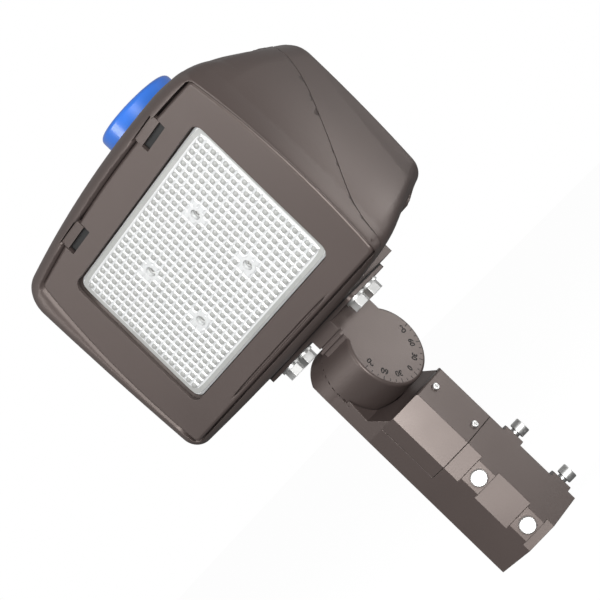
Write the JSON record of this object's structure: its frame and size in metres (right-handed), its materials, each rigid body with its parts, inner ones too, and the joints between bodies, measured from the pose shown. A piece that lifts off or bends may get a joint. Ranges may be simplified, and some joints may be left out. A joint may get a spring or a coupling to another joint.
{
  "type": "led floodlight",
  "caption": "Outdoor LED floodlight: tapered bronze head with square lens, latched front frame and twist-lock photocell, on a tilting slip fitter for a pipe tenon.",
  "frame": {"origin": "centre of the tenon bore's open end", "axes": "+Z from the open end of the sleeve towards the far end of the head, +X towards the joint's scale disc, the lens faces -Y"},
  "size_m": [0.3366, 0.126, 0.455],
  "materials": {
    "bronze_casting": "dark bronze powder coat, satin",
    "steel": "stainless fasteners",
    "rubber": "black silicone gasket",
    "lens": "clear to white moulded optic",
    "board": "white solder mask",
    "led": "yellow phosphor",
    "driver": "plain aluminium case",
    "black_plastic": "black moulding",
    "surge": "grey potted block",
    "terminal": "off-white moulding",
    "blue_plastic": "blue moulding, satin",
    "brass": "plated contact blades",
    "green_board": "green circuit board"
  },
  "bodies": {
    "sleeve": {"slipfitter_sleeve": "bronze_casting", "wiring_cover": "bronze_casting", "wiring_cover_gasket": "rubber", "wiring_cover_screws": "steel", "pivot_washer": "steel"},
    "head": {"knuckle": "bronze_casting", "pivot_bolt": "steel", "flange_gasket": "rubber", "flange_washers": "steel", "flange_bolts": "steel", "main_housing": "bronze_casting", "rear_cover": "bronze_casting", "rear_cover_gasket": "rubber", "rear_cover_screws": "steel", "lens": "lens", "lens_gasket": "rubber", "lens_screws": "steel", "led_board": "board", "led_rows": "led", "led_driver": "driver", "surge_protector": "surge", "terminal_block": "terminal", "receptacle_gasket": "rubber"},
    "front_frame": {"front_frame": "bronze_casting", "frame_hinge_pins": "steel", "latch_retainers": "steel"},
    "latch_left": {"latch_left": "bronze_casting"},
    "latch_right": {"latch_right": "bronze_casting"},
    "receptacle": {"receptacle": "black_plastic", "receptacle_ring": "black_plastic"},
    "photocell": {"photocell_gasket": "rubber", "photocell_blades": "brass", "photocell_base": "black_plastic", "photocell_board": "green_board", "photocell_cap": "blue_plastic"},
    "clamp_screw_1": {"clamp_screw_1": "steel"},
    "clamp_screw_2": {"clamp_screw_2": "steel"},
    "clamp_screw_3": {"clamp_screw_3": "steel"},
    "clamp_screw_4": {"clamp_screw_4": "steel"}
  },
  "joints": [
    {"name": "knuckle_tilt", "type": "hinge", "parent": "sleeve", "child": "head", "pos_m": [0, 0, 0.1834], "axis": [1, 0, 0], "range_deg": [-90, 90]},
    {"name": "frame_hinge", "type": "hinge", "parent": "head", "child": "front_frame", "pos_m": [0, -0.0486, 0.241], "axis": [1, 0, 0], "range_deg": [0, 80]},
    {"name": "latch_left_slide", "type": "slide", "parent": "front_frame", "child": "latch_left", "axis": [0, 0, -1], "range_m": [0, 0.0046], "stiffness_N_per_m": 300, "springref_m": -0.004},
    {"name": "latch_right_slide", "type": "slide", "parent": "front_frame", "child": "latch_right", "axis": [0, 0, -1], "range_m": [0, 0.0046], "stiffness_N_per_m": 300, "springref_m": -0.004},
    {"name": "receptacle_turn", "type": "hinge", "parent": "head", "child": "receptacle", "pos_m": [0, 0.028, 0.416], "axis": [0, 0, 1], "range_deg": [-170, 170]},
    {"name": "photocell_twist", "type": "hinge", "parent": "receptacle", "child": "photocell", "pos_m": [0, 0.028, 0.422], "axis": [0, 0, 1], "range_deg": [0, 30]},
    {"name": "clamp_screw_1_travel", "type": "slide", "parent": "sleeve", "child": "clamp_screw_1", "axis": [-0.7071, 0.7071, 0], "range_m": [-0.008, 0.002]},
    {"name": "clamp_screw_2_travel", "type": "slide", "parent": "sleeve", "child": "clamp_screw_2", "axis": [-0.7071, 0.7071, 0], "range_m": [-0.008, 0.002]},
    {"name": "clamp_screw_3_travel", "type": "slide", "parent": "sleeve", "child": "clamp_screw_3", "axis": [-0.7071, -0.7071, 0], "range_m": [-0.008, 0.002]},
    {"name": "clamp_screw_4_travel", "type": "slide", "parent": "sleeve", "child": "clamp_screw_4", "axis": [-0.7071, -0.7071, 0], "range_m": [-0.008, 0.002]}
  ]
}
